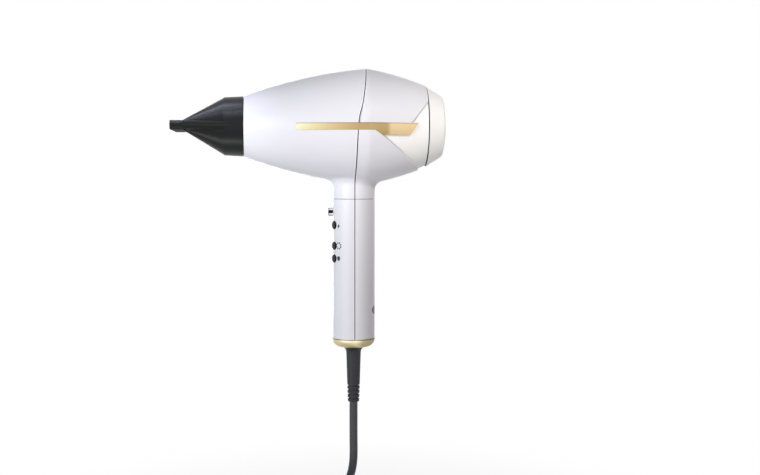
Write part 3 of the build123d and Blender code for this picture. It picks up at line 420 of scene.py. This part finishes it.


# Rear cowl and cap: the same moulding in a brighter white, near paper white, with the same lacquer.
# The cowl shows through the wedge cut in each side of the rear shell, and the cap pulls off behind it
# for cleaning. The ring where they meet is a soft grey line.
# The ring where cowl and cap meet is painted shade, with a painted highlight beside it.
CAP_LINE = 0.06065
CAP_LINE_HALF = 0.00042


def cap_seam(tree, spot):
    """The cap's joint: a ring of painted shade at one station."""
    return distance(tree, spot.outputs["X"], CAP_LINE)


pearl_white = white_lacquer("pearl_white_lacquer", "FDFDFC", "FBFBFA", cap_seam, CAP_LINE_HALF, "5E5F64")
finish_nodes(pearl_white, "rear_cowl", "rear_cap")


# Gold bars let into the barrel's sides: anodised aluminium, brushed along the bar. Along the bar its
# colour holds a painted reflection: pale yellow in front through gold to bronze, and pale gold again
# behind the step.
BAR_FRONT = -0.0495
BAR_REAR = 0.0515
BAR_REFLECTION_TONES = [(0.0, "B2AE98"), (0.13, "B3AB84"), (0.28, "B3A077"), (0.5, "A68E66"), (0.66, "94835D"),
             (0.735, "9A855C"), (0.765, "BBA887"), (1.0, "CCB28B")]
# The bar's top edge, over which its colour is darker by a share: a painted shadow along the proud edge.
BAR_EDGE = 0.1492
BAR_EDGE_SHADE = 0.35


def set_tones(ramp, tones):
    """Puts a ramp's stops at their shares, with their colours."""
    while len(ramp.elements) < len(tones):
        ramp.elements.new(1.0)
    for stop, (share, code) in zip(ramp.elements, tones):
        stop.position = share
        stop.color = hex_colour(code)


def brushed_gold(name, stretch, tones, edge, shade, rough):
    """Champagne anodised aluminium: brush lines one way, painted reflection in tones along X, and painted
    shadow over an edge.
    """
    material, tree = blank_material(name)
    place = add(tree, "ShaderNodeTexCoord").outputs["Object"]
    along = add(tree, "ShaderNodeMapping", {"Scale": stretch}, {"Vector": place})
    lines = add(tree, "ShaderNodeTexNoise", {"Scale": 1.0, "Detail": 4.0},
                {"Vector": along.outputs["Vector"]})
    spot = add(tree, "ShaderNodeSeparateXYZ", {}, {"Vector": place})
    reach = add(tree, "ShaderNodeMapRange", {"From Min": BAR_FRONT, "From Max": BAR_REAR},
                {"Value": spot.outputs["X"]})
    # Painted reflection: the ramp's tones run along X.
    painted_reflection = add(tree, "ShaderNodeValToRGB", {}, {"Fac": reach.outputs["Result"]})
    set_tones(painted_reflection.color_ramp, tones)
    streak = add(tree, "ShaderNodeMapRange", {"To Min": 0.86, "To Max": 1.06},
                 {"Value": lines.outputs["Fac"]})
    # Painted shadow: above the edge height the colour is darkened by a share.
    over = add(tree, "ShaderNodeMath", {"operation": "GREATER_THAN", 1: edge}, {0: spot.outputs["Z"]})
    streak_and_edge_shadow = add(tree, "ShaderNodeMath", {"operation": "MULTIPLY_ADD", 1: -shade},
               {0: over.outputs[0], 2: streak.outputs["Result"]})
    tone = add(tree, "ShaderNodeVectorMath", {"operation": "SCALE"},
               {0: painted_reflection.outputs["Color"], 3: streak_and_edge_shadow.outputs[0]})
    gloss = add(tree, "ShaderNodeMapRange", {"To Min": rough, "To Max": rough + 0.12},
                {"Value": lines.outputs["Fac"]})
    grain = add(tree, "ShaderNodeBump", {"Strength": 0.12, "Distance": 0.0001},
                {"Height": lines.outputs["Fac"]})
    shader = add(tree, "ShaderNodeBsdfPrincipled", {"Metallic": 1.0},
                 {"Base Color": tone.outputs["Vector"], "Roughness": gloss.outputs["Result"],
                  "Normal": grain.outputs["Normal"]})
    add(tree, "ShaderNodeOutputMaterial", {}, {"Surface": shader.outputs["BSDF"]})
    return material


bar_gold = brushed_gold("champagne_anodised_bar", (40.0, 2200.0, 2200.0), BAR_REFLECTION_TONES, BAR_EDGE,
                        BAR_EDGE_SHADE, 0.42)
finish_nodes(bar_gold, "trim_left", "trim_right")


# Ring at the handle's foot: turned from the same aluminium, paler, with its brush marks upright.
# A thin shadow line parts it from the two covers that it closes.
# Its tones along X are a painted reflection: brightest at the middle, dimmer to the left, darker to the
# right.
RING_REFLECTION_TONES = [(0.3, "CEC19A"), (0.44, "E2D6B0"), (0.5, "EEE2BB"), (0.56, "B4A985"), (0.66, "9C9272")]
RING_EDGE = -0.032
RING_EDGE_SHADE = 0.6
ring_gold = brushed_gold("champagne_anodised_ring", (1500.0, 1500.0, 90.0), RING_REFLECTION_TONES, RING_EDGE,
                         RING_EDGE_SHADE, 0.4)
finish_nodes(ring_gold, "end_ring")


# Nozzle, the ring that it turns in, and the grille behind it: heat-proof glass-filled nylon, moulded
# black with a satin polish. The eye gets a dark body and a soft, cool sheen. The flat underside of the
# nozzle's slot is matt, so it stays black.
FLAT_Z = 0.1447
FLAT_HALF = 0.0005
FLAT_END = -0.139
satin_nylon = moulded("black_glass_filled_nylon", "050608", "08090B", 1400.0, 0.34, 0.42, 0.06, 0.2, 0.02)
finish_nodes(satin_nylon, "nozzle_ring", "outlet_grille")
duct_nylon = satin_nylon.copy()
duct_nylon.name = "black_nylon_with_matt_underside"
tree = duct_nylon.node_tree
shader, gloss = tree.nodes["Principled BSDF"], tree.nodes["Map Range"]
place = add(tree, "ShaderNodeTexCoord").outputs["Object"]
spot = add(tree, "ShaderNodeSeparateXYZ", {}, {"Vector": place})
under = add(tree, "ShaderNodeMath", {"operation": "LESS_THAN", 1: FLAT_HALF},
            {0: distance(tree, spot.outputs["Z"], FLAT_Z)})
ahead = add(tree, "ShaderNodeMath", {"operation": "LESS_THAN", 1: FLAT_END}, {0: spot.outputs["X"]})
flat = add(tree, "ShaderNodeMath", {"operation": "MULTIPLY"}, {0: under.outputs[0], 1: ahead.outputs[0]})
matt = add(tree, "ShaderNodeMath", {"operation": "MAXIMUM"},
           {0: gloss.outputs["Result"], 1: flat.outputs[0]})
tree.links.new(matt.outputs[0], shader.inputs["Roughness"])
finish_nodes(duct_nylon, "nozzle")


# Round buttons: three push buttons moulded in polished black ABS, with a fine sparkle of dust.
polished_black = moulded("polished_black_abs", "060608", "0B0B0D", 1600.0, 0.25, 0.35, 0.03, 0.08)
finish_nodes(polished_black, "upper_button", "middle_button", "lower_button", "cool_shot_insert")


# Cool-shot key: a square frame of chrome-plated ABS round a black insert. The plating is bright, with
# a faint haze from handling. Its colour holds a painted reflection of a dark room: black at mid-height
# and along its top, foot and front, with bright chrome between.


def bare_metal(name, light, dark, stretch, low, high):
    """A plain metal with its tool or brush marks drawn out by a stretch."""
    material, tree = blank_material(name)
    place = add(tree, "ShaderNodeTexCoord").outputs["Object"]
    along = add(tree, "ShaderNodeMapping", {"Scale": stretch}, {"Vector": place})
    marks = add(tree, "ShaderNodeTexNoise", {"Scale": 1.0, "Detail": 3.0},
                {"Vector": along.outputs["Vector"]})
    tone = add(tree, "ShaderNodeMixRGB", {"Color1": hex_colour(light), "Color2": hex_colour(dark)},
               {"Fac": marks.outputs["Fac"]})
    gloss = add(tree, "ShaderNodeMapRange", {"To Min": low, "To Max": high},
                {"Value": marks.outputs["Fac"]})
    grain = add(tree, "ShaderNodeBump", {"Strength": 0.05, "Distance": 0.0001},
                {"Height": marks.outputs["Fac"]})
    shader = add(tree, "ShaderNodeBsdfPrincipled", {"Metallic": 1.0},
                 {"Base Color": tone.outputs["Color"], "Roughness": gloss.outputs["Result"],
                  "Normal": grain.outputs["Normal"]})
    add(tree, "ShaderNodeOutputMaterial", {}, {"Surface": shader.outputs["BSDF"]})
    return material


KEY_MID = 0.0764
KEY_HALF = 0.0044
KEY_FACE = -0.0209
KEY_REFLECTION_TONES = [(0.0, "0A0A0C"), (0.3, "B4B5B9"), (0.68, "1E1F23")]
chrome, tree = blank_material("chrome_plated_abs")
place = add(tree, "ShaderNodeTexCoord").outputs["Object"]
spot = add(tree, "ShaderNodeSeparateXYZ", {}, {"Vector": place})
rise = add(tree, "ShaderNodeMapRange", {"From Max": KEY_HALF},
           {"Value": distance(tree, spot.outputs["Z"], KEY_MID)})
face = add(tree, "ShaderNodeMath", {"operation": "LESS_THAN", 1: KEY_FACE}, {0: spot.outputs["X"]})
outwards = add(tree, "ShaderNodeMath", {"operation": "MAXIMUM"},
               {0: rise.outputs["Result"], 1: face.outputs[0]})
# Painted reflection: black at mid-height, pale chrome, then black at the top, foot and front face.
painted_reflection = add(tree, "ShaderNodeValToRGB", {}, {"Fac": outwards.outputs[0]})
painted_reflection.color_ramp.interpolation = "CONSTANT"
set_tones(painted_reflection.color_ramp, KEY_REFLECTION_TONES)
haze = add(tree, "ShaderNodeTexNoise", {"Scale": 700.0, "Detail": 3.0}, {"Vector": place})
gloss = add(tree, "ShaderNodeMapRange", {"To Min": 0.12, "To Max": 0.25}, {"Value": haze.outputs["Fac"]})
shader = add(tree, "ShaderNodeBsdfPrincipled", {"Metallic": 1.0},
             {"Base Color": painted_reflection.outputs["Color"], "Roughness": gloss.outputs["Result"]})
add(tree, "ShaderNodeOutputMaterial", {}, {"Surface": shader.outputs["BSDF"]})
finish_nodes(chrome, "cool_shot_button")


# Printed marks beside the round buttons: one pass of dark ink, laid on the lacquer. A bolt stands
# by the switch, a broken ring by the heat button and a dot by the speed button. The ink is near
# black, duller than the lacquer, and greyer where it is laid thin.
HANDLE_R = 18.0
INK = 0.05
MARK_LIFT = 0.01
MARK_CUTS = 3
MARK_TURN = 42.0


def printed(name, outlines, height, material):
    """Flat marks from their outlines, cut fine, given a thickness and laid round the handle."""
    marks = []
    for outline in outlines:
        bpy.ops.mesh.primitive_circle_add(vertices=len(outline), radius=MM, fill_type="NGON")
        mark = selected_object(name)
        for vertex, (along, up) in zip(mark.data.vertices, outline):
            vertex.co = Vector((MARK_LIFT, along, up)) * MM
        bpy.ops.object.mode_set(mode="EDIT")
        bpy.ops.mesh.select_all(action="SELECT")
        bpy.ops.mesh.quads_convert_to_tris()
        bpy.ops.mesh.subdivide(number_cuts=MARK_CUTS)
        bpy.ops.mesh.extrude_region_move(TRANSFORM_OT_translate={"value": (INK * MM, 0, 0)})
        bpy.ops.mesh.select_all(action="SELECT")
        bpy.ops.mesh.normals_make_consistent(inside=False)
        bpy.ops.object.mode_set(mode="OBJECT")
        marks.append(mark)
    for mark in marks:
        mark.select_set(True)
    if len(marks) > 1:
        bpy.ops.object.join()
    mark = bpy.context.object
    mark.name = name
    wrap(mark.data, Vector((0, 0, height)) * MM, HANDLE_R * MM, radians(180 + MARK_TURN))
    mark.data.materials.append(material)
    mark.select_set(False)
    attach(mark, "housing")


ink_black = moulded("black_pad_print_ink", "141417", "1C1C20", 2000.0, 0.35, 0.5, 0.05)
ink_grey = moulded("grey_pad_print_ink", "26272B", "303136", 2000.0, 0.35, 0.5, 0.05)
BOLT = [(0.6, 2.4), (-1.6, -0.6), (-0.3, -0.6), (-0.6, -2.4), (1.6, 0.6), (0.3, 0.6)]
RAYS = 8
RAY_IN = 1.9
RAY_OUT = 3.1
RAY_HALF = 0.58
DOT_SIDES = 24
DOT_R = (1.75, 1.95)
SWITCH_MARK_Z = 64.4
HEAT_MARK_Z = 47.8
SPEED_MARK_Z = 37.1

dashes = []
for i in range(RAYS):
    angle = 2 * pi * (i + 0.5) / RAYS
    way, side = Vector((cos(angle), sin(angle))), Vector((-sin(angle), cos(angle)))
    corners = (way * RAY_IN - side * RAY_HALF, way * RAY_OUT - side * RAY_HALF,
               way * RAY_OUT + side * RAY_HALF, way * RAY_IN + side * RAY_HALF)
    dashes.append([tuple(corner) for corner in corners])
dot = []
for i in range(DOT_SIDES):
    angle = 2 * pi * i / DOT_SIDES
    dot.append((DOT_R[0] * cos(angle), DOT_R[1] * sin(angle)))
printed("switch_mark", [BOLT], SWITCH_MARK_Z, ink_grey)
printed("heat_mark", dashes, HEAT_MARK_Z, ink_grey)
printed("speed_mark", [dot], SPEED_MARK_Z, ink_black)


# Plug in the rear of the handle: an oval rubber lid pressed in over the cover's screw. It is matt
# black, with a groove just inside its rim whose grey is a painted gleam.
LID_MID = -0.0069
LID_HALF = (0.0, 0.0099, 0.00435)
LID_GLEAM_TONES = [(0.6, "0C0C0E"), (0.68, "9A9BA0"), (0.78, "B0B1B6"), (0.86, "0C0C0E")]
rear_rubber, tree = blank_material("rubber_lid_painted_gleam")
place = add(tree, "ShaderNodeTexCoord").outputs["Object"]
lift = add(tree, "ShaderNodeMapping", {"Location": (0.0, 0.0, -LID_MID / LID_HALF[2]),
                                      "Scale": (0.0, 1 / LID_HALF[1], 1 / LID_HALF[2])},
           {"Vector": place})
away = add(tree, "ShaderNodeVectorMath", {"operation": "LENGTH"}, {0: lift.outputs["Vector"]})
# Painted highlight: a grey gleam in a ring just inside the rim. Its tones also shape the groove's bump.
lid_gleam = add(tree, "ShaderNodeValToRGB", {}, {"Fac": away.outputs["Value"]})
set_tones(lid_gleam.color_ramp, LID_GLEAM_TONES)
skin = add(tree, "ShaderNodeTexNoise", {"Scale": 1500.0, "Detail": 2.0}, {"Vector": place})
gloss = add(tree, "ShaderNodeMapRange", {"To Min": 0.4, "To Max": 0.55}, {"Value": skin.outputs["Fac"]})
bowl = add(tree, "ShaderNodeBump", {"Strength": 0.3, "Distance": 0.0004, "invert": True},
           {"Height": lid_gleam.outputs["Color"]})
shader = add(tree, "ShaderNodeBsdfPrincipled", {"IOR": 1.5},
             {"Base Color": lid_gleam.outputs["Color"], "Roughness": gloss.outputs["Result"],
              "Normal": bowl.outputs["Normal"]})
add(tree, "ShaderNodeOutputMaterial", {}, {"Surface": shader.outputs["BSDF"]})
finish_nodes(rear_rubber, "rear_plug")


# Strain relief and the cord's run inside: soft black rubber moulded over the cord. It flares out
# under the ring and ends in four bending grooves. It is satin, with the dusty bloom that rubber gets.


def turned(name, stations, sides, turn, centre):
    """A turned shape, carried up Z from station to station, closed at both ends and laid in place."""
    bpy.ops.mesh.primitive_circle_add(vertices=sides, radius=stations[0][1] * MM, fill_type="NGON",
                                      location=(0, 0, stations[0][0] * MM))
    obj = selected_object(name)
    bpy.ops.object.transform_apply(location=True)
    bpy.ops.object.mode_set(mode="EDIT")
    bpy.ops.mesh.select_all(action="SELECT")
    for (z0, r0), (z1, r1) in zip(stations, stations[1:]):
        bpy.ops.mesh.extrude_region_move(TRANSFORM_OT_translate={"value": (0, 0, (z1 - z0) * MM)})
        bpy.ops.transform.resize(value=(r1 / r0, r1 / r0, 1), center_override=(0, 0, z1 * MM))
    bpy.ops.mesh.select_all(action="SELECT")
    bpy.ops.mesh.normals_make_consistent(inside=False)
    bpy.ops.mesh.select_all(action="DESELECT")
    bpy.ops.object.mode_set(mode="OBJECT")
    obj.rotation_euler = turn
    obj.location = Vector(centre) * MM
    bpy.ops.object.transform_apply(location=True, rotation=True)
    return obj


RELIEF_GROOVES = 4
RELIEF_PITCH = 3.6
RELIEF_FIRST = -82.4
RELIEF_SWELL = 0.13
RELIEF_SIDES = 40
profile = [(-86.0, 3.6), (-86.0, 4.5), (-85.6, 4.9)]
for i in range(RELIEF_GROOVES):
    z = RELIEF_FIRST + RELIEF_PITCH * i
    swell = RELIEF_SWELL * i
    profile += [(z - 1.2, 4.95 + swell), (z - 1.1, 4.1 + swell), (z, 4.1 + swell), (z + 0.1, 5.0 + swell)]
profile += [(-60.0, 5.75), (-50.0, 6.05), (-44.0, 6.25), (-42.2, 6.5), (-41.0, 7.1), (-40.0, 8.0),
            (-39.3, 9.1), (-38.9, 9.3), (-38.5, 8.6), (-37.0, 7.0), (-37.0, 3.6)]
relief = turned("strain_relief_sleeve", profile, RELIEF_SIDES, (0, 0, 0), (0, 0, 0))
bpy.ops.object.shade_smooth_by_angle(angle=radians(35))
relief.select_set(False)
bloomed_rubber = moulded("black_moulded_rubber", "26272A", "1C1D20", 1100.0, 0.45, 0.58, 0.1, 0.35)
relief.data.materials.append(bloomed_rubber)
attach(relief, "housing")
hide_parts("strain_relief")
finish_nodes(cord_pvc, "inner_cord")


# Clamp, its screws and the handle's screw: a moulded bar of glass-filled nylon holds the cord, with
# zinc-plated steel screws. The nylon is a dull mid grey, and zinc is pale and slightly mottled.
grey_nylon = moulded("grey_glass_filled_nylon", "6A6B6F", "5A5B60", 1300.0, 0.42, 0.55, 0.12)
zinc_steel = bare_metal("zinc_plated_steel", "BFC0C2", "A3A4A8", (500.0, 500.0, 500.0), 0.25, 0.42)
finish_nodes(grey_nylon, "cord_clamp")
finish_nodes(zinc_steel, "clamp_screws", "handle_screw")


# Switch board and tact switches: a green lacquered glass-epoxy board with black moulded switches.
# The lacquer is a glossy deep green with a fine ripple, and the switches are a dull black.
board_lacquer = moulded("green_board_lacquer", "1E5B34", "174B2A", 900.0, 0.25, 0.35, 0.08)
switch_nylon = moulded("black_switch_nylon", "1A1A1D", "222226", 1500.0, 0.4, 0.5, 0.08)
finish_nodes(board_lacquer, "switch_board")
finish_nodes(switch_nylon, "tact_switches")


# Intake filter: a steel screen in a rim, held just inside the cap. Heat has darkened it to a dull
# grey, mottled as fine as its wires.
filter_steel = bare_metal("heat_darkened_steel_mesh", "5B5B5E", "3C3C40", (1800.0, 1800.0, 1800.0),
                          0.35, 0.5)
finish_nodes(filter_steel, "intake_filter")


# Fan and its duct: moulded in grey glass-filled nylon. The fan is a shade darker and more polished.
fan_nylon = moulded("dark_grey_fan_nylon", "3C3D41", "323338", 1300.0, 0.3, 0.42, 0.06)
finish_nodes(grey_nylon, "fan_duct")
finish_nodes(fan_nylon, "fan")


# Motor and shaft: a drawn, zinc-plated steel can with rings from the drawing die, and a ground
# steel shaft with marks round it.
drawn_steel = bare_metal("drawn_steel_can", "B4B5B8", "94959A", (900.0, 60.0, 60.0), 0.22, 0.36)
ground_steel = bare_metal("ground_steel_shaft", "C8C9CC", "B0B1B5", (2200.0, 90.0, 90.0), 0.15, 0.25)
finish_nodes(drawn_steel, "motor")
finish_nodes(ground_steel, "motor_shaft")


# Heater: a mica sleeve and a cross of mica sheets carry windings of nickel-chrome ribbon, with a
# steel-cased thermal cut-out. Mica is tan and flaky with a silky glint, and the ribbon is heat-blued.
mica, tree = blank_material("pressed_mica_sheet")
place = add(tree, "ShaderNodeTexCoord").outputs["Object"]
flakes = add(tree, "ShaderNodeTexVoronoi", {"Scale": 420.0}, {"Vector": place})
cloud = add(tree, "ShaderNodeTexNoise", {"Scale": 90.0, "Detail": 2.0}, {"Vector": place})
tone = add(tree, "ShaderNodeMixRGB", {"Color1": hex_colour("B8A888"), "Color2": hex_colour("8E7F62")},
           {"Fac": cloud.outputs["Fac"]})
gloss = add(tree, "ShaderNodeMapRange", {"To Min": 0.25, "To Max": 0.55},
            {"Value": flakes.outputs["Distance"]})
layers = add(tree, "ShaderNodeBump", {"Strength": 0.2, "Distance": 0.0001},
             {"Height": flakes.outputs["Distance"]})
shader = add(tree, "ShaderNodeBsdfPrincipled", {"IOR": 1.58},
             {"Base Color": tone.outputs["Color"], "Roughness": gloss.outputs["Result"],
              "Normal": layers.outputs["Normal"]})
add(tree, "ShaderNodeOutputMaterial", {}, {"Surface": shader.outputs["BSDF"]})
finish_nodes(mica, "heater_sleeve", "heater_frame")
heated_ribbon = bare_metal("heat_blued_nichrome_ribbon", "8A8578", "5E6470", (260.0, 260.0, 260.0),
                           0.3, 0.5)
finish_nodes(heated_ribbon, "heating_coils")
finish_nodes(zinc_steel, "thermal_cutout")


# Plug: a moulded two-pin body in the cord's black PVC, with ribs to grip it by, a flared face and
# its own grooved sleeve where the cord goes in.
PLUG_Y = -31.0
PLUG_Z = -171.5
PLUG_FACE = 64.0
PLUG_SIDES = 40
GRIP_FROM = 48.0
GRIP_TO = 57.5
GRIP_RIB = 0.9
SLEEVE_FROM = 27.0
SLEEVE_PITCH = 2.6
SLEEVE_RINGS = 4
SLEEVE_SWELL = 0.12
EDGE_ROUND = 0.35
sleeve = [(25.4, 3.6), (25.8, 4.4)]
for i in range(SLEEVE_RINGS):
    x = SLEEVE_FROM + SLEEVE_PITCH * i
    swell = SLEEVE_SWELL * i
    sleeve += [(x, 4.9 + swell), (x + 1.5, 4.95 + swell), (x + 1.6, 4.2 + swell), (x + 2.5, 4.2 + swell)]
shoulder = [(37.6, 5.6), (40.0, 6.4), (42.0, 8.0), (42.8, 11.2), (43.8, 13.6), (45.5, 15.2)]
flare = [(59.5, 16.6), (60.6, 17.2), (61.4, 17.5), (63.2, 17.5), (PLUG_FACE, 16.8), (PLUG_FACE, 14.6)]
stations = (sleeve + shoulder + [(GRIP_FROM, 15.8), (GRIP_TO, 15.8)] + flare
            + [(PLUG_FACE - 0.5, 14.3), (PLUG_FACE - 0.5, 1.0)])
plug = turned("plug", stations, PLUG_SIDES, (0, radians(90), 0), (0, PLUG_Y, PLUG_Z))
for face in plug.data.polygons:
    spot = face.center / MM
    face.select = False
    if GRIP_FROM < spot.x < GRIP_TO:
        turn = Vector((spot.y - PLUG_Y, spot.z - PLUG_Z)).angle_signed(Vector((1, 0)))
        side = int(round(turn / (2 * pi) * PLUG_SIDES - 0.5))
        face.select = side % 2 == 0
bpy.context.tool_settings.mesh_select_mode = (False, False, True)
bpy.ops.object.mode_set(mode="EDIT")
bpy.ops.mesh.extrude_region_shrink_fatten(TRANSFORM_OT_shrink_fatten={"value": GRIP_RIB * MM})
bpy.ops.object.mode_set(mode="OBJECT")
soften = plug.modifiers.new("soften", "BEVEL")
soften.width = EDGE_ROUND * MM
soften.segments = 2
soften.angle_limit = radians(38)
bpy.ops.object.modifier_apply(modifier="soften")
bpy.ops.object.shade_smooth_by_angle(angle=radians(32))
plug.select_set(False)
plug.data.materials.append(cord_pvc)
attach(plug, "housing")
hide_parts("plug_body")


# Pins: two round pins of nickel-plated brass, 4.8 mm across and 19 mm apart, turned with a domed end.
# Nickel is bright and a little warm, and sockets have left fine marks along it.
PIN_R = 2.4
PIN_END = 83.0
PIN_SPACING = 19.0
PIN_SIDES = 28
DOME_STEPS = 5
DOME = 1.6
pin_profile = [(PLUG_FACE - 2.0, PIN_R), (PIN_END - DOME, PIN_R)]
for i in range(1, DOME_STEPS + 1):
    turn = pi / 2 * i / (DOME_STEPS + 0.5)
    pin_profile.append((PIN_END - DOME + DOME * sin(turn), PIN_R * cos(turn)))
pin_left = turned("pin_left", pin_profile, PIN_SIDES, (0, radians(90), 0),
                  (0, PLUG_Y - PIN_SPACING / 2, PLUG_Z))
bpy.ops.object.shade_smooth_by_angle(angle=radians(40))
nickel = bare_metal("nickel_plated_brass", "D2CCBE", "BDB6A6", (120.0, 900.0, 900.0), 0.18, 0.3)
pin_left.data.materials.append(nickel)
pin_left.select_set(False)
pin_right = pin_left.copy()
pin_right.data = pin_left.data.copy()
pin_right.name = "pin_right"
for vertex in pin_right.data.vertices:
    vertex.co.y += PIN_SPACING * MM
bpy.context.scene.collection.objects.link(pin_right)
for pin in (pin_left, pin_right):
    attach(pin, "housing")
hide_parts("plug_pins")
